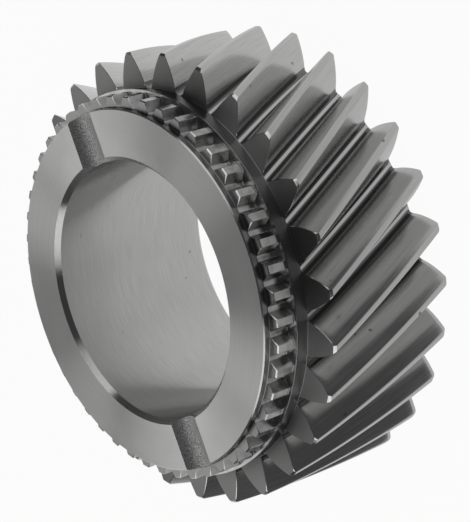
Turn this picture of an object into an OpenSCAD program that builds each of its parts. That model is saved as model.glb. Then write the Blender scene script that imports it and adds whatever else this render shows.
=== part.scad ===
// Helical speed gear of a manual gearbox, with integral clutch dog teeth.
// It stands on its plain back face at z = 0, with the thrust face on top.
// The gear axis is the Z axis and the bore runs the whole way through.

/* [Helical gear] */
// Number of helical teeth
teeth = 27; // [22:1:36]
// Normal module, which sets the size of the teeth (mm)
normal_module = 3; // [2.9:0.05:3.6]
// Helix angle at the pitch circle (degrees)
helix_angle = 27; // [15:0.5:32]
// Hand of the helix: 1 is left hand, -1 is right hand
helix_hand = 1; // [1, -1]
// Normal pressure angle (degrees)
pressure_angle = 25; // [20:0.5:26]
// Tooth height above the pitch circle, in modules
addendum = 1; // [0.8:0.05:1.1]
// Tooth depth below the pitch circle, in modules
dedendum = 1.45; // [1.2:0.05:1.5]
// Amount taken off the thickness of each tooth at the pitch circle (mm)
tooth_thinning = 0.45; // [0:0.05:0.6]
// Radius of the fillet at the foot of a tooth (mm)
root_fillet = 1.1; // [0.6:0.1:1.4]
// Width of the helical gear along the axis (mm)
gear_width = 32; // [15:0.1:50]
// Depth of the chamfer on the tooth ends, along the radius (mm)
tip_chamfer = 0.5; // [0.3:0.1:2]
// Turn of the helical teeth about the axis, at the front plane (degrees)
gear_phase = 3.6; // [0:0.1:13.3]

/* [Collar] */
// Length of the collar between the helical teeth and the dog teeth (mm)
collar_length = 3; // [1:0.1:8]
// Step down from the root of the helical teeth to the collar (mm)
collar_step = 0.05; // [0.05:0.05:1]
// Chamfer on the collar's front edge (mm)
collar_chamfer = 0.3; // [0.1:0.05:0.3]

/* [Dog teeth] */
// Number of dog teeth
dog_teeth = 48; // [36:4:60]
// Length of the dog teeth along the axis (mm)
dog_length = 4.8; // [3:0.1:8]
// Step down from the collar to the tips of the dog teeth (mm)
dog_step = 0.35; // [0.35:0.05:2]
// Radial height of the dog teeth (mm)
dog_height = 2.2; // [1.2:0.1:2.6]
// Slope of each dog tooth's side from the radius (degrees)
dog_side_angle = 30; // [15:1:35]
// Width of the gap between two dog teeth at its floor (mm)
dog_gap = 1.2; // [0.8:0.05:1.6]
// Radius of the fillet at the foot of a dog tooth (mm)
dog_fillet = 0.45; // [0.2:0.05:0.7]
// Chamfer on the front edge of the dog tips (mm)
dog_chamfer = 0.4; // [0.1:0.05:0.8]

/* [Thrust face] */
// Height of the thrust boss in front of the dog teeth (mm)
boss_height = 1.5; // [1:0.1:4]
// Step down from the foot of the dog teeth to the thrust boss (mm)
boss_step = 0.1; // [0.05:0.05:1]
// Chamfer on the rim of the thrust face (mm)
boss_chamfer = 0.4; // [0.1:0.05:0.45]
// Radius of the fillet where the boss meets the dog teeth (mm)
boss_fillet = 0.45; // [0.2:0.05:0.5]

/* [Oil grooves] */
// Number of oil grooves across the thrust face
oil_grooves = 2; // [1:1:6]
// Width of an oil groove at the thrust face (mm)
groove_width = 8.6; // [3:0.1:12]
// Depth of an oil groove at its middle (mm)
groove_depth = 1.1; // [0.3:0.1:1.4]

/* [Bore] */
// Diameter of the bore, which runs on a needle bearing (mm)
bore_d = 55; // [40:0.5:58]
// Chamfer at the front end of the bore (mm)
bore_chamfer_front = 1; // [0.3:0.1:2]
// Chamfer at the back end of the bore (mm)
bore_chamfer_back = 1.5; // [0.3:0.1:2.5]

/* [Hidden] */
$fn = 144;
steel = [0.62, 0.62, 0.61];
over = 1;

// Helical teeth, seen in the plane square to the axis
pitch_r = teeth * normal_module / cos(helix_angle) / 2;
tip_r = pitch_r + addendum * normal_module;
root_r = pitch_r - dedendum * normal_module;
side_angle = atan(tan(pressure_angle) / cos(helix_angle));
base_r = pitch_r * cos(side_angle);
flank_start_r = max(base_r, root_r + 0.8 * root_fillet);
flank_steps = 4;
fillet_steps = 3;
twist_per_mm = helix_hand * tan(helix_angle) / pitch_r * 180 / PI;
cut_slices = 7;

// Half of the angle between two teeth, measured at the base circle
space_half = 180 / teeth - 90 / teeth - involute_angle(pitch_r)
    + tooth_thinning / cos(helix_angle) / 2 / pitch_r * 180 / PI;

// Radii, from the helical teeth inwards
collar_r = root_r - collar_step;
dog_tip_r = collar_r - dog_step;
dog_root_r = dog_tip_r - dog_height;
boss_r = dog_root_r - boss_step;
bore_r = bore_d / 2;

// Heights above the back face
collar_z = gear_width + collar_length;
dog_z = collar_z + dog_length;
face_z = dog_z + boss_height;

// Polar angle that the involute has unwound at radius r, in degrees
function involute_angle(r) =
    let (a = acos(min(1, base_r / r))) tan(a) * 180 / PI - a;

function polar(r, a) = [r * cos(a), r * sin(a)];

// Points of a curve between two points that rounds off the corner between them
function rounded(from, corner, to) =
    [for (i = [0 : fillet_steps])
        let (t = i / fillet_steps)
        (1 - t) * (1 - t) * from + 2 * t * (1 - t) * corner + t * t * to];

// Half of the tooth space at radius r, as an angle from its middle
function space_angle(r) = space_half + involute_angle(r);

// One side of a tooth space: the foot fillet, then the involute flank
function space_side(side) =
    let (
        foot_a = space_angle(flank_start_r),
        floor_a = max(0.05 * foot_a, foot_a - root_fillet / root_r * 180 / PI),
        flank_rise = (tip_r + over / 2 - flank_start_r) / flank_steps
    )
    concat(
        rounded(
            polar(root_r, side * floor_a),
            polar(root_r, side * foot_a),
            polar(flank_start_r, side * foot_a)
        ),
        [for (i = [1 : flank_steps])
            let (r = flank_start_r + flank_rise * i)
            polar(r, side * space_angle(r))]
    );

function reversed(list) = [for (i = [len(list) - 1 : -1 : 0]) list[i]];

// Outline of the space between two helical teeth, centred on the X axis
module tooth_space() {
    polygon(concat(reversed(space_side(-1)), space_side(1)));
}

// All the helical tooth spaces, from below the back face to above the front plane
module helical_spaces() {
    height = gear_width + 2 * over;
    start = gear_phase + 180 / teeth + twist_per_mm * (gear_width + over);
    translate([0, 0, -over])
        linear_extrude(height = height, twist = twist_per_mm * height,
                       slices = cut_slices, segments = 1)
            for (i = [0 : teeth - 1])
                rotate(start + i * 360 / teeth)
                    tooth_space();
}

// Half section of the gear as it is turned, before any teeth are cut
module turned_section() {
    polygon(concat(
        [
            [bore_r, bore_chamfer_back],
            [bore_r + bore_chamfer_back, 0],
            [tip_r - tip_chamfer, 0],
            [tip_r, tip_chamfer],
            [tip_r, gear_width - tip_chamfer],
            [tip_r - tip_chamfer, gear_width],
            [collar_r, gear_width],
            [collar_r, collar_z - collar_chamfer],
            [collar_r - collar_chamfer, collar_z],
            [dog_tip_r, collar_z],
            [dog_tip_r, dog_z - dog_chamfer],
            [dog_tip_r - dog_chamfer, dog_z]
        ],
        rounded(
            [boss_r + boss_fillet, dog_z],
            [boss_r, dog_z],
            [boss_r, dog_z + boss_fillet]
        ),
        [
            [boss_r, face_z - boss_chamfer],
            [boss_r - boss_chamfer, face_z],
            [bore_r + bore_chamfer_front, face_z],
            [bore_r, face_z - bore_chamfer_front]
        ]
    ));
}

// One side of a gap between dog teeth: the foot fillet, then the sloping side
function dog_gap_side(side) =
    let (
        top_r = dog_tip_r + dog_step / 2,
        half_floor = dog_gap / 2,
        half_top = half_floor + (top_r - dog_root_r) * tan(dog_side_angle),
        reach = dog_fillet * tan((90 - dog_side_angle) / 2)
    )
    concat(
        rounded(
            [dog_root_r, side * (half_floor - reach)],
            [dog_root_r, side * half_floor],
            [dog_root_r + reach * cos(dog_side_angle),
             side * (half_floor + reach * sin(dog_side_angle))]
        ),
        [[top_r, side * half_top]]
    );

// Outline of the gap between two dog teeth, centred on the X axis
module dog_gap_outline() {
    polygon(concat(reversed(dog_gap_side(-1)), dog_gap_side(1)));
}

// All the gaps between the dog teeth, from the collar's front wall forwards
module dog_gaps() {
    pitch = 360 / dog_teeth;
    for (i = [0 : dog_teeth - 1])
        rotate((i + 0.5) * pitch)
            translate([0, 0, collar_z])
                linear_extrude(height = dog_length + boss_fillet + over)
                    dog_gap_outline();
}

// Shallow round-bottomed troughs across the thrust face
module oil_groove_cuts() {
    scoop_r = (groove_width * groove_width / 4 + groove_depth * groove_depth)
        / (2 * groove_depth);
    for (i = [0 : oil_grooves - 1])
        rotate(90 + i * 360 / oil_grooves)
            translate([0, 0, face_z + scoop_r - groove_depth])
                rotate([0, 90, 0])
                    cylinder(r = scoop_r, h = boss_r + over);
}

module transmission_gear() {
    color(steel)
        difference() {
            rotate_extrude()
                turned_section();
            helical_spaces();
            dog_gaps();
            oil_groove_cuts();
        }
}

transmission_gear();
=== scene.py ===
import math

import bmesh
import bpy
import numpy as np
from mathutils import Matrix, Vector


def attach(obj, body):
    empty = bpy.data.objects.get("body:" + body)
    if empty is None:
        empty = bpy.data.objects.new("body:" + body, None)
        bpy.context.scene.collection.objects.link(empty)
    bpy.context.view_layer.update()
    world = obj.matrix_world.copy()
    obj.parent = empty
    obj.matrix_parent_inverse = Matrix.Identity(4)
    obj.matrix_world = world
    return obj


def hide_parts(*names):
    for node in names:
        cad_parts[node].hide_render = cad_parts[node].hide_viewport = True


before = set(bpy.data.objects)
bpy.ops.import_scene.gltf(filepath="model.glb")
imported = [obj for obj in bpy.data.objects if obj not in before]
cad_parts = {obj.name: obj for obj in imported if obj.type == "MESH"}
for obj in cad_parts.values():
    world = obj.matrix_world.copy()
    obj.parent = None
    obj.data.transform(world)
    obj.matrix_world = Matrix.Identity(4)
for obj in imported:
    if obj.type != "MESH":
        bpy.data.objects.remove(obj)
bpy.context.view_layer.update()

MM = 0.001
FULL_TURN = 2 * math.pi

# Helical teeth, in the plane square to the axis. THINNING is taken off each
# tooth at the pitch circle, and TWIST is the turn of the helix per mm.
TEETH = 27
MODULE = 3.0
HELIX = math.radians(27)
PRESSURE = math.radians(25)
THINNING = 0.45
PHASE = math.radians(3.6)
WIDTH = 32.0
PITCH_R = TEETH * MODULE / math.cos(HELIX) / 2
BASE_R = PITCH_R * math.cos(math.atan(math.tan(PRESSURE) / math.cos(HELIX)))
TWIST = math.tan(HELIX) / PITCH_R

# Tips of the helical teeth. The edges are rounded, but leave some flat land.
TIP_R = PITCH_R + MODULE
TIP_CHAMFER = 0.5
TIP_EDGE = 0.24
LEAST_LAND_SHARE = 0.1

# Feet of the helical teeth, where a fillet leads from the flank to the floor.
# It ends before the middle of the floor, at this share of the way.
FLANK_START_R = 42.05
FLOOR_R = 40.95
FILLET_WIDTH = 0.6
FILLET_END_SHARE = 0.985

# Front ends of the helical teeth: a bevel that starts at the floor, and grows
# over a rise in radius. The last even ring stands FRONT_LENGTH behind them.
FRONT_LENGTH = 1.0
FRONT_BEVEL = 0.1
FRONT_BEVEL_RISE = 1.0

# Rounded back ends of the helical teeth, with what comes off flanks and tips
END_LENGTH = 0.9
END_DEPTH = 0.42
END_TIP_DEPTH = 0.75

# Collar: a fillet at the foot of the teeth, then a groove that deepens forwards.
# The teeth's columns end, and the dog teeth's start, this far in front of the teeth.
COLLAR_R = 40.9
COLLAR_FOOT = 0.12
COLLAR_SLOPE = math.radians(17)
COLLAR_TEETH_END = 0.6
COLLAR_DOGS_START = 1.0

# Front wall of the groove, with a small slope at its foot
RELIEF_WALL = 0.35
RELIEF_FOOT_R = 0.1
RELIEF_FOOT_Z = 0.15

# Flange between the groove and the dog teeth
FLANGE_R = 41.4
FLANGE_Z = 35.35
FLANGE_THICKNESS = 0.4
FLANGE_EDGE = 0.15
FLANGE_BACK_EDGE = 0.15

# Dog teeth. The bevel on their front edges starts above the floor of the gaps,
# and grows over a rise in radius.
DOGS = 48
DOG_HEIGHT = 2.2
DOG_TIP_R = 40.704
DOG_FLOOR_R = DOG_TIP_R - DOG_HEIGHT
DOG_Z = 39.8
DOG_GAP = 1.2
DOG_SLOPE = math.radians(30)
DOG_FILLET = 0.45
DOG_FOOT = 0.08
DOG_CHAMFER = 0.22
DOG_EDGE = 0.07
DOG_EDGE_START = 0.3
DOG_EDGE_RISE = 0.4

# Thrust boss
BOSS_STEP = 0.1
BOSS_R = DOG_FLOOR_R - BOSS_STEP
BOSS_HEIGHT = 1.5
BOSS_FILLET = 0.2
BOSS_CHAMFER = 0.25
BOSS_LEAST_WALL = 0.02
FACE_Z = DOG_Z + BOSS_HEIGHT

# Oil grooves across the boss, along Y, with round bottoms. They are uneven
# except at their edges. They are blasted, but their finish is smoother beyond
# OIL_SMOOTH_X, towards -X.
OIL_GROOVES = 2
OIL_WIDTH = 8.6
OIL_DEPTH = 1.1
OIL_SMOOTH_X = -1.7
OIL_UNEVEN = 0.012
OIL_UNEVEN_SHARE = 0.93
SCOOP_R = (OIL_WIDTH ** 2 / 4 + OIL_DEPTH ** 2) / (2 * OIL_DEPTH)
SCOOP_Z = FACE_Z + SCOOP_R - OIL_DEPTH

# Bore, whose first ring stands BORE_LEAD below the front chamfer
BORE_R = 27.5
BORE_CHAMFER_FRONT = 1.0
BORE_CHAMFER_BACK = 1.5
BORE_LEAD = 1.0

# Radii of the rings that make up the back face
BACK_RINGS = (33.0, 39.0)
BACK_OUTER_RING = 40.2

# How finely curves are divided, and where the extra point on a tip lies
FLANK_STEPS = 11
FILLET_STEPS = 8
DOG_FILLET_STEPS = 5
EDGE_STEPS = 3
LAND_POINT = 0.55
END_RINGS = 5
TOOTH_RINGS = 27
FOOT_RINGS = 5
DOG_FOOT_RINGS = 4
BOSS_FOOT_RINGS = 6
OIL_COLUMNS = 20
FACE_COLUMNS = 104
FACE_RINGS = 26
BORE_RINGS = 14

# Points closer than this are merged, and edges sharper than this stay sharp
MERGE = 0.002
SHARP = math.radians(24)

# Finishes, which are also the order of the material slots
# ROOT_PAINTED_SHADE, COLLAR_PAINTED_SHADE and ENDS_PAINTED_SHADE are darker greys that paint shade
# into the root fillets, the collar, flange and boss foot, and the teeth's front faces.
GROUND, ROOT_PAINTED_SHADE, TURNED, COLLAR_PAINTED_SHADE, ENDS_PAINTED_SHADE, FACED, DOG, BORE, BLASTED, SMOOTH = range(10)

# Gloss of turned steel: how far it is stretched, and its turn as a share of a
# full one, which lays it across the turned rings
GLOSS_STRETCH = 0.97
GLOSS_TURN = 0.25

# Dark specks: where on a noise they start and are full, and how dark they are
SPECK_START = 0.765
SPECK_FULL = 0.795
SPECK_SHARE = 0.65
SPECK_GREY = 0.08

# Camera, as fitted to the photograph
CAMERA_PLACE = Vector((-347.066, 14.464, 291.028))
CAMERA_TARGET = Vector((-33.745, 1.405, 41.3))
CAMERA_ROLL = math.radians(107.653)
CAMERA_LENS = 142.993
CAMERA_SENSOR = 36.0

# Floor, in metres. In reflections it shows a painted pool of light: white round the X axis
# from FLOOR_LIT_X on, in a patch that widens along X, and it dims outside that.
FLOOR_HALF = 3.0
FLOOR_LIT_X = 0.12
FLOOR_DIM_START = 0.06
FLOOR_DIM_END = 0.34
FLOOR_DIMMEST = 0.05
FLOOR_GREY = 0.9
FLOOR_WHITE_SHARE = 0.95

# Strength of the even light from all round
WORLD_STRENGTH = 0.07


class Skin:
    """Rings of points round the axis, and the faces between them."""

    def __init__(self):
        self.points = []
        self.faces = []
        self.finishes = []

    def ring(self, r, angle, z):
        """Adds one point per column, and returns their numbers."""
        r, angle, z = np.broadcast_arrays(r, angle, z)
        first = len(self.points)
        self.points.extend(zip(r * np.cos(angle), r * np.sin(angle), z))
        return np.arange(first, first + len(angle))

    def band(self, near, far, finish):
        """Joins two rings that have the same columns. The finish is one for
        the whole band, or one per face."""
        count = len(near)
        for i in range(count):
            j = (i + 1) % count
            self.faces.append((near[i], near[j], far[j], far[i]))
        if np.isscalar(finish):
            finish = [finish] * count
        self.finishes.extend(finish)

    def grow(self, last, r, angle, z, finish):
        """Adds a ring, joins the last one to it, and returns the new one."""
        ring = self.ring(r, angle, z)
        self.band(last, ring, finish)
        return ring

    def zipped(self, near, near_angle, far, far_angle, finish):
        """Joins two rings that have different columns, with triangles."""
        a, a_angle = in_order(near, near_angle)
        b, b_angle = in_order(far, far_angle)
        i = j = 0
        while i < len(a) or j < len(b):
            step_near = j >= len(b) or (i < len(a) and a_angle[i + 1] <= b_angle[j + 1])
            if step_near:
                face = (a[i % len(a)], a[(i + 1) % len(a)], b[j % len(b)])
                i += 1
            else:
                face = (a[i % len(a)], b[(j + 1) % len(b)], b[j % len(b)])
                j += 1
            self.faces.append(face)
            self.finishes.append(finish)


def in_order(ring, angle):
    """A ring's points in the order of their angles, and those angles with the
    first one added again a full turn on."""
    angle = angle % FULL_TURN
    order = np.argsort(angle)
    angle = angle[order]
    return ring[order], np.append(angle, angle[0] + FULL_TURN)


def curve(start, corner, end, steps):
    """Points of a curve that rounds off a corner, without its start."""
    start, corner, end = (np.array(p, float) for p in (start, corner, end))
    t = np.linspace(0, 1, steps + 1)[1:, None]
    return (1 - t) ** 2 * start + 2 * t * (1 - t) * corner + t ** 2 * end


def quarter_turn(count):
    """Angles from nought to a right angle."""
    return np.linspace(0, math.pi / 2, count)


def all_round(half, count, start):
    """Radii and angles of a closed outline, from half of one of its count
    equal parts. The half is mirrored, and the first part is at start."""
    half = np.array(half)
    mirrored = half[1:-1][::-1] * (1, -1)
    part = np.vstack([mirrored, half])
    turns = [part[:, 1] + FULL_TURN * i / count + start for i in range(count)]
    return np.tile(part[:, 0], count), np.concatenate(turns)


def involute(r):
    """Angle that the involute has unwound at radius r."""
    a = np.arccos(np.minimum(1, BASE_R / r))
    return np.tan(a) - a


def tooth_half_angle(r, extra):
    """Half of a tooth's angle at radius r, with extra mm off each flank."""
    thin = THINNING / math.cos(HELIX) / 2 / PITCH_R
    return math.pi / 2 / TEETH + involute(PITCH_R) - involute(r) - thin - extra / r


def tooth_outline(cut=0.0, tip_cut=0.0):
    """Radii and angles of all the teeth at the front plane.

    cut is taken off each flank, and tip_cut off the tips."""
    tip = TIP_R - tip_cut
    low = tip - TIP_EDGE
    land = tooth_half_angle(tip, cut)
    land_end = max(land - TIP_EDGE / tip, LEAST_LAND_SHARE * land)
    half = [(tip, 0.0), (tip, LAND_POINT * land_end), (tip, land_end)]
    half += list(curve((tip, land_end), (tip, land), (low, tooth_half_angle(low, cut)),
                       EDGE_STEPS))
    for r in np.linspace(low, FLANK_START_R, FLANK_STEPS)[1:]:
        half.append((r, tooth_half_angle(r, cut)))
    foot = tooth_half_angle(FLANK_START_R, cut)
    drop = FLANK_START_R - FLOOR_R
    lean = math.tan(math.acos(BASE_R / FLANK_START_R)) * drop / FLOOR_R
    middle = math.pi / TEETH
    floor_start = min(foot + lean + FILLET_WIDTH / FLOOR_R, FILLET_END_SHARE * middle)
    half += list(curve((FLANK_START_R, foot), (FLOOR_R, foot + lean),
                       (FLOOR_R, floor_start), FILLET_STEPS))
    half.append((FLOOR_R, middle))
    return all_round(half, TEETH, PHASE)


def twisted(angle, z):
    """Angle of a helical column at height z."""
    return angle + TWIST * (WIDTH - z)


def offset(r, angle, distance):
    """Moves a closed outline outwards by a distance, along its own normals."""
    x, y = r * np.cos(angle), r * np.sin(angle)
    ahead = np.stack([np.roll(x, -1) - x, np.roll(y, -1) - y])
    ahead = ahead / np.maximum(np.hypot(*ahead), 1e-9)
    behind = np.roll(ahead, 1, axis=1)
    mean = ahead + behind
    mean = mean / np.hypot(*mean)
    stretch = distance / np.maximum(0.5, (mean * ahead).sum(0))
    x, y = x + mean[1] * stretch, y - mean[0] * stretch
    moved = np.arctan2(y, x)
    moved = angle + (moved - angle + math.pi) % FULL_TURN - math.pi
    return np.hypot(x, y), moved


def dog_side(x):
    """Distance of a dog gap's side from the gap's middle line, at place x."""
    return DOG_GAP / 2 + (x - DOG_FLOOR_R) * math.tan(DOG_SLOPE)


def dog_outline():
    """Radii and angles of the ring of dog teeth."""
    reach = DOG_FILLET * math.tan((math.pi / 2 - DOG_SLOPE) / 2)
    foot_end = DOG_FLOOR_R + reach * math.cos(DOG_SLOPE)
    side_end = DOG_TIP_R - DOG_EDGE
    side_middle = (foot_end + side_end) / 2
    gap = [(DOG_FLOOR_R, 0.0), (DOG_FLOOR_R, DOG_GAP / 2 - reach)]
    gap += list(curve(gap[-1], (DOG_FLOOR_R, DOG_GAP / 2), (foot_end, dog_side(foot_end)),
                      DOG_FILLET_STEPS))
    gap += [(x, dog_side(x)) for x in (side_middle, side_end)]
    x, y = np.array(gap).T
    half = list(zip(np.hypot(x, y), np.arctan2(y, x)))
    corner = math.atan2(dog_side(DOG_TIP_R), DOG_TIP_R)
    land_start = corner + DOG_EDGE / DOG_TIP_R
    middle = math.pi / DOGS
    half += list(curve(half[-1], (DOG_TIP_R, corner), (DOG_TIP_R, land_start), EDGE_STEPS))
    half += [(DOG_TIP_R, (land_start + middle) / 2), (DOG_TIP_R, middle)]
    return all_round(half, DOGS, middle)


def helical_teeth(skin):
    """The toothed surface, from the back plane up to the front plane.

    Returns the ring and the angles at the back, and the ring, radii and
    angles at the front."""
    rings = []
    for turn in quarter_turn(END_RINGS):
        share = 1 - math.sin(turn)
        z = END_LENGTH * (1 - math.cos(turn))
        r, angle = tooth_outline(END_DEPTH * share, END_TIP_DEPTH * share)
        if not rings:
            back_angle = twisted(angle, z)
        rings.append(skin.ring(r, twisted(angle, z), z))
    r, angle = tooth_outline()
    for z in np.linspace(END_LENGTH, WIDTH - FRONT_LENGTH, TOOTH_RINGS)[1:]:
        rings.append(skin.ring(r, twisted(angle, z), z))
    bevel = FRONT_BEVEL * np.clip((r - FLOOR_R) / FRONT_BEVEL_RISE, 0, 1)
    z = np.minimum(WIDTH - bevel, WIDTH + TIP_R - TIP_CHAMFER - r)
    rings.append(skin.ring(r, twisted(angle, z), z))
    finish = tooth_finish(r)
    front_r, front_angle = tooth_outline(FRONT_BEVEL, TIP_CHAMFER)
    front = skin.ring(front_r, front_angle, WIDTH)
    for near, far in zip(rings[:-1], rings[1:]):
        skin.band(near, far, finish)
    skin.band(rings[-1], front, DOG)
    return rings[0], back_angle, front, front_r, front_angle


def tooth_finish(r):
    """Finish of each column: the fillets at the teeth's feet get a dark grey, which is painted
    shade between the teeth.
    """
    fillet = faces_below(r, FLANK_START_R)
    floor = faces_below(r, FLOOR_R)
    return np.where(fillet & ~floor, ROOT_PAINTED_SHADE, GROUND)


def faces_below(r, limit):
    """Which columns have both of their sides at a radius up to the limit."""
    low = r < limit + MERGE
    return low & np.roll(low, -1)


def foot_height(r):
    """Height of the fillet at the foot of the helical teeth's front faces."""
    past = np.clip(COLLAR_R + COLLAR_FOOT - r, 0, COLLAR_FOOT)
    return WIDTH + COLLAR_FOOT - np.sqrt(COLLAR_FOOT ** 2 - past ** 2)


def collar_radius(z):
    """Radius of the collar at height z. It narrows towards the flange."""
    return COLLAR_R - math.tan(COLLAR_SLOPE) * (z - WIDTH - COLLAR_FOOT)


def collar(skin, last, r, angle):
    """The teeth's front faces, the fillet at their foot and the collar's start."""
    # The teeth's front faces and the collar take darker greys, which are painted shade.
    finish = ENDS_PAINTED_SHADE
    for turn in quarter_turn(FOOT_RINGS):
        near = np.minimum(COLLAR_R + COLLAR_FOOT * (1 - math.sin(turn)), r)
        last = skin.grow(last, near, angle, foot_height(near), finish)
        finish = COLLAR_PAINTED_SHADE
    z = WIDTH + COLLAR_TEETH_END
    return skin.grow(last, collar_radius(z), angle, z, COLLAR_PAINTED_SHADE)


def relief_groove(skin, last, last_angle, angle):
    """The rest of the collar, up to the back of the flange."""
    # The relief groove gets the collar's painted shade.
    z = WIDTH + COLLAR_DOGS_START
    ring = skin.ring(collar_radius(z), angle, z)
    skin.zipped(last, last_angle, ring, angle, COLLAR_PAINTED_SHADE)
    last = ring
    back_z = FLANGE_Z - FLANGE_THICKNESS
    low_z = back_z - RELIEF_WALL
    low_r = collar_radius(low_z)
    for r, z in ((low_r, low_z),
                 (low_r + RELIEF_FOOT_R, low_z + RELIEF_FOOT_Z),
                 (FLANGE_R - FLANGE_BACK_EDGE, back_z)):
        last = skin.grow(last, r, angle, z, COLLAR_PAINTED_SHADE)
    return last


def wall_height(r):
    """Height of the flange's front wall and rounded edge at radius r."""
    past = np.clip(r - (FLANGE_R - FLANGE_EDGE), 0, FLANGE_EDGE)
    return FLANGE_Z - FLANGE_EDGE + np.sqrt(FLANGE_EDGE ** 2 - past ** 2)


def boss_height(r):
    """Height of the dog teeth's front plane and the boss fillet at radius r."""
    past = np.clip(BOSS_R + BOSS_FILLET - r, 0, BOSS_FILLET)
    return DOG_Z + BOSS_FILLET - np.sqrt(BOSS_FILLET ** 2 - past ** 2)


def dog_ring(skin, last, last_angle):
    """The relief groove, the flange and the dog teeth, up to the boss."""
    r, angle = dog_outline()
    out_r, out_angle = offset(r, angle, DOG_FOOT)
    last = relief_groove(skin, last, last_angle, out_angle)
    # The flange and its wall get the collar's painted shade.
    for turn in quarter_turn(FOOT_RINGS):
        near = np.maximum(FLANGE_R - FLANGE_EDGE * (1 - math.cos(turn)), out_r)
        last = skin.grow(last, near, out_angle, wall_height(near), COLLAR_PAINTED_SHADE)
    for turn in quarter_turn(DOG_FOOT_RINGS):
        foot_r, foot_angle = offset(r, angle, DOG_FOOT * (1 - math.sin(turn)))
        z = wall_height(foot_r) + DOG_FOOT * (1 - math.cos(turn))
        last = skin.grow(last, foot_r, foot_angle, z, DOG)
    return dog_front(skin, last, r, angle)


def dog_front(skin, last, r, angle):
    """The bevels and front faces of the dog teeth, and the boss fillet."""
    bevel = DOG_EDGE * np.clip((r - DOG_FLOOR_R - DOG_EDGE_START) / DOG_EDGE_RISE, 0, 1)
    chamfer_z = DOG_Z + DOG_TIP_R - DOG_CHAMFER - r
    last = skin.grow(last, r, angle, np.minimum(boss_height(r) - bevel, chamfer_z), DOG)
    in_r, in_angle = offset(r, angle, -bevel)
    in_r = np.minimum(in_r, DOG_TIP_R - DOG_CHAMFER)
    last = skin.grow(last, in_r, in_angle, boss_height(in_r), DOG)
    # The boss fillet gets the collar's painted shade.
    for turn in quarter_turn(BOSS_FOOT_RINGS):
        near = np.minimum(BOSS_R + BOSS_FILLET * (1 - math.sin(turn)), in_r)
        last = skin.grow(last, near, in_angle, boss_height(near), COLLAR_PAINTED_SHADE)
    return last, in_angle


def groove_half_width(z):
    """Half of an oil groove's width at height z."""
    return math.sqrt(max(0.0, SCOOP_R ** 2 - (SCOOP_Z - z) ** 2))


def groove_height(x):
    """Height of an oil groove's surface at distance x from its middle line."""
    return SCOOP_Z - np.sqrt(SCOOP_R ** 2 - x ** 2)


def groove_noise(x, y):
    """Small unevenness of the as-forged groove surface."""
    coarse = np.sin(5.1 * x + 2 * np.sin(1.9 * y)) * np.sin(4.3 * y + 1.7 * x)
    fine = np.sin(9.7 * x - 3.1 * y) * np.sin(8.9 * y + 2.3)
    return OIL_UNEVEN * (coarse + 0.6 * fine)


def face_columns(r, z):
    """Angles of the columns at radius r, which of them are in a groove, and
    how far each is from the groove's middle line.

    The columns beside a groove follow its edges, where the turned surface
    is at height z."""
    half = groove_half_width(z)
    across = np.linspace(-1, 1, OIL_COLUMNS + 1) * half
    in_groove = np.arcsin(across / r)
    edge = in_groove[-1]
    beside = np.linspace(edge, FULL_TURN / OIL_GROOVES - edge, FACE_COLUMNS + 1)[1:-1]
    columns = np.concatenate([in_groove, beside])
    first = math.pi / 2
    angle = np.concatenate([first + FULL_TURN * i / OIL_GROOVES + columns
                            for i in range(OIL_GROOVES)])
    flag = np.tile(np.arange(len(columns)) <= OIL_COLUMNS, OIL_GROOVES)
    across = np.tile(np.append(across, np.full(len(beside), half)), OIL_GROOVES)
    return angle, flag, across


def face_ring(skin, r, z, lowest=0.0):
    """One ring of the thrust face, which dips where it crosses a groove."""
    angle, flag, across = face_columns(r, z)
    height = np.where(flag, groove_height(across), z)
    inner = flag & (np.abs(across) < OIL_UNEVEN_SHARE * groove_half_width(z))
    height += np.where(inner, groove_noise(r * np.cos(angle), r * np.sin(angle)), 0)
    height = np.maximum(height, lowest)
    return skin.ring(r, angle, height), angle, flag, height


def groove_finish(flag, r, angle, beside):
    """Finish of each face between two rings. The grooves are blasted, but
    smooth on the side towards -X."""
    middle = (angle + np.roll(angle, -1)) / 2
    kind = np.where(r * np.cos(middle) < OIL_SMOOTH_X, SMOOTH, BLASTED)
    return np.where(flag & np.roll(flag, -1), kind, beside)


def thrust_boss(skin, last, last_angle):
    """The boss wall, its rim chamfer, the thrust face and the bore chamfer."""
    low = DOG_Z + BOSS_FILLET
    top, angle, last_flag, height = face_ring(skin, BOSS_R, FACE_Z - BOSS_CHAMFER,
                                              low + BOSS_LEAST_WALL)
    wall = skin.ring(BOSS_R, angle, (low + height) / 2)
    # The boss wall gets the collar's painted shade.
    skin.zipped(last, last_angle, wall, angle, COLLAR_PAINTED_SHADE)
    skin.band(wall, top, COLLAR_PAINTED_SHADE)
    last = top
    rim_r = BOSS_R - BOSS_CHAMFER
    chamfer_r = BORE_R + BORE_CHAMFER_FRONT
    stations = [(rim_r, FACE_Z, TURNED)]
    stations += [(r, FACE_Z, FACED) for r in np.linspace(rim_r, chamfer_r, FACE_RINGS)[1:]]
    stations += [(BORE_R + depth, FACE_Z - BORE_CHAMFER_FRONT + depth, TURNED)
                 for depth in (BORE_CHAMFER_FRONT / 2, 0.0)]
    for r, z, finish in stations:
        ring, angle, flag, _ = face_ring(skin, r, z)
        skin.band(last, ring, groove_finish(last_flag, r, angle, finish))
        last, last_flag = ring, flag
    return last, angle


def bore(skin, last, angle):
    """The bore wall and its back chamfer."""
    top = FACE_Z - BORE_CHAMFER_FRONT - BORE_LEAD
    for z in np.linspace(top, BORE_CHAMFER_BACK, BORE_RINGS):
        last = skin.grow(last, BORE_R, angle, z, BORE)
    return skin.grow(last, BORE_R + BORE_CHAMFER_BACK, angle, 0.0, TURNED)


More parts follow.
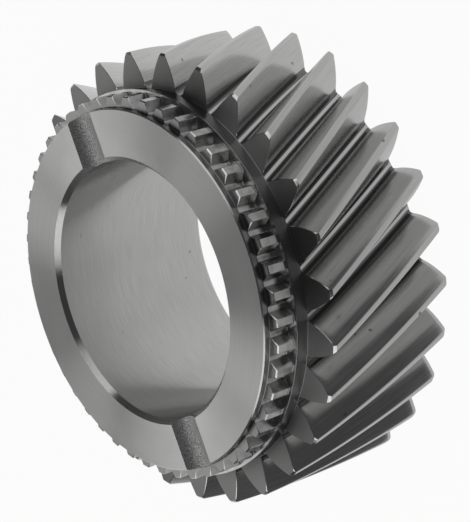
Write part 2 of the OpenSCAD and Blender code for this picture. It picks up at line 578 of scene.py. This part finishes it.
def back_face(skin, last, angle, back, back_angle):
    """The flat back face, from the bore out to the teeth."""
    for r in BACK_RINGS:
        last = skin.grow(last, r, angle, 0.0, TURNED)
    outer = skin.ring(BACK_OUTER_RING, back_angle, 0.0)
    skin.zipped(last, angle, outer, back_angle, TURNED)
    skin.band(outer, back, TURNED)


def make_gear():
    """Builds the whole gear as one closed mesh."""
    skin = Skin()
    back, back_angle, last, r, angle = helical_teeth(skin)
    last = collar(skin, last, r, angle)
    last, angle = dog_ring(skin, last, angle)
    last, angle = thrust_boss(skin, last, angle)
    last = bore(skin, last, angle)
    back_face(skin, last, angle, back, back_angle)
    return make_object("gear_body", skin)


def make_object(name, skin):
    """Makes a smooth-shaded object in metres from a skin."""
    mesh = bpy.data.meshes.new(name)
    points = [tuple(float(c) * MM for c in p) for p in skin.points]
    mesh.from_pydata(points, [], [tuple(int(i) for i in f) for f in skin.faces])
    mesh.polygons.foreach_set("material_index", np.array(skin.finishes, dtype=np.int32))
    piece = bpy.data.objects.new(name, mesh)
    bpy.context.collection.objects.link(piece)
    merge_points(mesh)
    mesh.polygons.foreach_set("use_smooth", np.ones(len(mesh.polygons), dtype=bool))
    mesh.set_sharp_from_angle(angle=SHARP)
    return piece


def merge_points(mesh):
    """Merges points that coincide, and drops the faces that this closes up."""
    bm = bmesh.new()
    bm.from_mesh(mesh)
    bmesh.ops.remove_doubles(bm, verts=bm.verts, dist=MERGE * MM)
    bmesh.ops.dissolve_degenerate(bm, edges=bm.edges, dist=MERGE / 2 * MM)
    bm.to_mesh(mesh)
    bm.free()
    mesh.update()


class Nodes:
    """Short calls for building a material's node tree."""

    def __init__(self, name):
        self.material = bpy.data.materials.new(name)
        self.material.use_nodes = True
        self.tree = self.material.node_tree
        self.shader = self.tree.nodes["Principled BSDF"]
        self.shader.inputs["Metallic"].default_value = 1.0

    def add(self, kind, **settings):
        node = self.tree.nodes.new(kind)
        for key, value in settings.items():
            setattr(node, key, value)
        return node

    def plug(self, value, socket):
        """Links a socket to another, or sets it to a value."""
        if isinstance(value, bpy.types.NodeSocket):
            self.tree.links.new(value, socket)
        else:
            socket.default_value = value

    def math(self, operation, a, b=0.0):
        node = self.add("ShaderNodeMath", operation=operation)
        self.plug(a, node.inputs[0])
        self.plug(b, node.inputs[1])
        return node.outputs[0]

    def length(self, x, y):
        """Length of the line whose sides are x and y."""
        squares = [self.math("MULTIPLY", side, side) for side in (x, y)]
        return self.math("SQRT", self.math("ADD", *squares))

    def noise(self, vector, scale=1.0, detail=3.0, roughness=0.5):
        node = self.add("ShaderNodeTexNoise")
        self.plug(vector, node.inputs["Vector"])
        node.inputs["Scale"].default_value = scale
        node.inputs["Detail"].default_value = detail
        node.inputs["Roughness"].default_value = roughness
        return node.outputs["Fac"]

    def streaks(self, *axes):
        """Noise over three measures, each given with how fine the noise is along it."""
        vector = self.add("ShaderNodeCombineXYZ")
        for (measure, fineness), socket in zip(axes, vector.inputs):
            self.plug(self.math("MULTIPLY", measure, fineness), socket)
        return self.noise(vector.outputs[0], detail=4.0)

    def ramp(self, value, low, high, to_low, to_high):
        """Goes from to_low to to_high as the value goes from low to high."""
        node = self.add("ShaderNodeMapRange")
        for socket, item in zip(node.inputs, (value, low, high, to_low, to_high)):
            self.plug(item, socket)
        return node.outputs[0]

    def blend(self, share, a, b):
        """Mixes two colours."""
        node = self.add("ShaderNodeMix", data_type="RGBA")
        self.plug(share, node.inputs[0])
        self.plug(a, node.inputs[6])
        self.plug(b, node.inputs[7])
        return node.outputs[2]

    def tones(self, value, dark, light, low=0.3, high=0.7):
        """A grey that goes from dark to light as the value goes from low to high."""
        return self.blend(self.ramp(value, low, high, 0.0, 1.0), grey(dark), grey(light))

    def specks(self, colour, place, scale):
        """Scatters a few small dark specks over a colour, at a noise's peaks."""
        dots = self.noise(place, scale=scale, detail=1.0)
        share = self.ramp(dots, SPECK_START, SPECK_FULL, 0.0, SPECK_SHARE)
        return self.blend(share, colour, grey(SPECK_GREY))

    def bump(self, height, distance, normal=None):
        """A normal from a height that goes up to a distance in mm."""
        node = self.add("ShaderNodeBump")
        node.inputs["Distance"].default_value = distance * MM
        self.plug(height, node.inputs["Height"])
        if normal is not None:
            self.plug(normal, node.inputs["Normal"])
        return node.outputs[0]

    def turned(self):
        """Stretches the gloss across fine rings that run round the axis."""
        tangent = self.add("ShaderNodeTangent", direction_type="RADIAL", axis="Z")
        self.plug(tangent.outputs[0], self.shader.inputs["Tangent"])
        self.shader.inputs["Anisotropic"].default_value = GLOSS_STRETCH
        self.shader.inputs["Anisotropic Rotation"].default_value = GLOSS_TURN

    def place(self):
        return self.add("ShaderNodeTexCoord").outputs["Object"]

    def split(self, vector):
        parts = self.add("ShaderNodeSeparateXYZ")
        self.plug(vector, parts.inputs[0])
        return parts.outputs

    def polar(self, place):
        """Radius in mm, angle round the axis, and height in mm."""
        x, y, z = self.split(place)
        r = self.math("MULTIPLY", self.length(x, y), 1 / MM)
        return r, self.math("ARCTAN2", y, x), self.math("MULTIPLY", z, 1 / MM)

    def finish(self, colour, roughness, normal):
        """Plugs a finish into the shader, and returns the material."""
        self.plug(colour, self.shader.inputs["Base Color"])
        self.plug(roughness, self.shader.inputs["Roughness"])
        self.plug(normal, self.shader.inputs["Normal"])
        return self.material


def grey(value):
    return (value, value, value * 0.99, 1.0)


def ground_steel(name, tone):
    """Flanks, tips and fillets of the helical teeth, with lines along them."""
    n = Nodes(name)
    place = n.place()
    r, angle, z = n.polar(place)
    along = n.math("ADD", angle, n.math("MULTIPLY", z, TWIST))
    across = n.math("MULTIPLY", along, PITCH_R)
    lines = n.streaks((r, 5.0), (across, 5.0), (z, 0.12))
    cloud = n.noise(place, scale=160.0)
    colour = n.specks(n.tones(lines, 0.9 * tone, 1.1 * tone), place, 420.0)
    worn = n.math("ADD", lines, n.math("MULTIPLY", cloud, 0.5))
    return n.finish(colour, n.ramp(worn, 0.5, 1.0, 0.17, 0.25), n.bump(lines, 0.0015))


def turned_steel(name, tone, smoothest, roughest):
    """Turned faces, with fine rings round the axis."""
    n = Nodes(name)
    place = n.place()
    r, angle, z = n.polar(place)
    rings = n.streaks((r, 7.0), (angle, 0.6), (z, 7.0))
    cloud = n.noise(place, scale=110.0, detail=4.0)
    worn = n.math("ADD", rings, n.math("MULTIPLY", cloud, 0.6))
    n.turned()
    return n.finish(n.tones(rings, 0.94 * tone, 1.06 * tone),
                    n.ramp(worn, 0.5, 1.1, smoothest, roughest), n.bump(rings, 0.001))


def dog_steel(name):
    """Cut sides and lands of the dog teeth, with dents and stains."""
    n = Nodes(name)
    marks = n.noise(n.place(), scale=520.0, detail=4.0)
    return n.finish(n.tones(marks, 0.36, 0.52, low=0.35, high=0.65),
                    n.ramp(marks, 0.3, 0.7, 0.16, 0.26), n.bump(marks, 0.03))


def bore_steel(name):
    """Honed wall of the bore."""
    n = Nodes(name)
    place = n.place()
    r, angle, z = n.polar(place)
    lines = n.streaks((angle, 4.0), (r, 0.0), (z, 3.0))
    cloud = n.noise(place, scale=60.0, detail=2.0)
    n.turned()
    return n.finish(n.specks(n.tones(lines, 0.45, 0.51), place, 520.0),
                    n.ramp(cloud, 0.3, 0.7, 0.19, 0.25), n.bump(lines, 0.001))


def forged_steel(name, dark, light, depth):
    """Blasted surface of the oil grooves, with grains up to depth mm deep."""
    n = Nodes(name)
    place = n.place()
    grain = n.noise(place, scale=3600.0, roughness=0.6)
    coarse = n.noise(place, scale=1500.0, detail=2.0)
    return n.finish(n.tones(grain, dark, light, low=0.42, high=0.62),
                    n.ramp(grain, 0.3, 0.7, 0.6, 0.35),
                    n.bump(grain, depth, normal=n.bump(coarse, depth)))


def floor_painted_light_pool(n):
    """Painted pool of light that the floor shows in reflections. It dims towards
    the sides and towards -X, which is the unlit side."""
    x, y, _ = n.split(n.place())
    behind = n.math("MINIMUM", n.math("SUBTRACT", x, FLOOR_LIT_X), 0.0)
    beside = n.math("DIVIDE", n.math("MULTIPLY", y, FLOOR_LIT_X),
                    n.math("MAXIMUM", x, FLOOR_LIT_X))
    return n.ramp(n.length(behind, beside), FLOOR_DIM_START, FLOOR_DIM_END, 1.0, FLOOR_DIMMEST)


def floor_material():
    """White floor. Its white is shown to the camera and to reflections, and
    part of it stays a lit surface, so the gear's shadow shows on it."""
    n = Nodes("studio_floor")
    n.tree.nodes.remove(n.shader)
    lit = n.add("ShaderNodeBsdfDiffuse")
    lit.inputs["Color"].default_value = (FLOOR_GREY, FLOOR_GREY, FLOOR_GREY, 1.0)
    path = n.add("ShaderNodeLightPath").outputs
    white = n.add("ShaderNodeEmission")
    # In reflections the emission's strength is a painted pool of light; to the camera it is an even
    # white.
    n.plug(n.math("MAXIMUM", path["Is Camera Ray"], floor_painted_light_pool(n)), white.inputs["Strength"])
    seen = n.math("MAXIMUM", path["Is Camera Ray"], path["Is Glossy Ray"])
    mix = n.add("ShaderNodeMixShader")
    n.plug(n.math("MULTIPLY", seen, FLOOR_WHITE_SHARE), mix.inputs[0])
    n.plug(lit.outputs[0], mix.inputs[1])
    n.plug(white.outputs[0], mix.inputs[2])
    n.plug(mix.outputs[0], n.tree.nodes["Material Output"].inputs["Surface"])
    return n.material


def make_floor():
    mesh = bpy.data.meshes.new("floor")
    corners = [(x * FLOOR_HALF, y * FLOOR_HALF, 0) for x, y in ((-1, -1), (1, -1), (1, 1), (-1, 1))]
    mesh.from_pydata(corners, [], [(0, 1, 2, 3)])
    floor = bpy.data.objects.new("floor", mesh)
    bpy.context.collection.objects.link(floor)
    mesh.materials.append(floor_material())


def make_world():
    """Dim even light from all round. The soft boxes do the rest."""
    world = bpy.data.worlds.new("studio")
    bpy.context.scene.world = world
    world.use_nodes = True
    background = world.node_tree.nodes["Background"]
    background.inputs["Color"].default_value = (1.0, 1.0, 1.0, 1.0)
    background.inputs["Strength"].default_value = WORLD_STRENGTH


def soft_box(name, azimuth, elevation, distance, size, glow):
    """A soft box that faces the foot of the gear's axis. Angles are in degrees
    and lengths in metres. Glow is how bright its surface looks, where 1 is white."""
    a, e = math.radians(azimuth), math.radians(elevation)
    towards = Vector((math.cos(a) * math.cos(e), math.sin(a) * math.cos(e), math.sin(e)))
    light = bpy.data.lights.new(name, "AREA")
    light.shape = "RECTANGLE"
    light.size, light.size_y = size
    light.energy = glow * math.pi * size[0] * size[1]
    lamp = bpy.data.objects.new(name, light)
    lamp.location = towards * distance
    lamp.rotation_euler = (-lamp.location).to_track_quat("-Z", "Y").to_euler()
    bpy.context.collection.objects.link(lamp)


def make_camera():
    """A pinhole camera that stands where the photograph was taken from."""
    ahead = (CAMERA_TARGET - CAMERA_PLACE).normalized()
    upright = (Vector((0, 0, 1)) - ahead * ahead.z).normalized()
    level = ahead.cross(upright)
    up = math.cos(CAMERA_ROLL) * upright + math.sin(CAMERA_ROLL) * level
    side = ahead.cross(up)
    camera_data = bpy.data.cameras.new("camera")
    camera_data.lens = CAMERA_LENS
    camera_data.sensor_width = CAMERA_SENSOR
    camera_data.clip_start = 0.01
    camera = bpy.data.objects.new("camera", camera_data)
    turn = Matrix((side, up, -ahead)).transposed().to_4x4()
    camera.matrix_world = Matrix.Translation(CAMERA_PLACE * MM) @ turn
    bpy.context.collection.objects.link(camera)
    bpy.context.scene.camera = camera


gear = make_gear()
# The materials come in the order of the finishes
for steel in (ground_steel("ground_flank_steel", tone=0.57),
              # The root fillets' dark tone is painted shade, where the teeth shade each other.
              ground_steel("root_fillet_painted_shade_steel", tone=0.15),
              turned_steel("turned_steel", tone=0.45, smoothest=0.2, roughest=0.28),
              # These two darker greys are painted shade on the collar, flange and boss foot, and on
              # the teeth's front faces.
              turned_steel("collar_painted_shade_steel", tone=0.24, smoothest=0.2, roughest=0.28),
              turned_steel("tooth_end_painted_shade_steel", tone=0.24, smoothest=0.4, roughest=0.5),
              turned_steel("faced_steel", tone=0.56, smoothest=0.4, roughest=0.5),
              dog_steel("dog_tooth_steel"),
              bore_steel("honed_bore_steel"),
              forged_steel("blasted_groove_steel", dark=0.2, light=0.52, depth=0.045),
              forged_steel("smooth_groove_steel", dark=0.3, light=0.36, depth=0.01)):
    gear.data.materials.append(steel)
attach(gear, "root")
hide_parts("transmission_gear")

make_floor()
make_world()
make_camera()
soft_box("soft_box_left", azimuth=104, elevation=38, distance=0.9, size=(0.7, 0.56), glow=1.55)
soft_box("soft_box_right", azimuth=236, elevation=38, distance=0.9, size=(0.7, 0.52), glow=1.35)
soft_box("back_panel", azimuth=2, elevation=35, distance=1.2, size=(1.4, 0.66), glow=1.0)
soft_box("backdrop_glow", azimuth=2, elevation=6, distance=1.2, size=(1.3, 0.35), glow=0.9)

bpy.context.scene.view_settings.view_transform = "Standard"
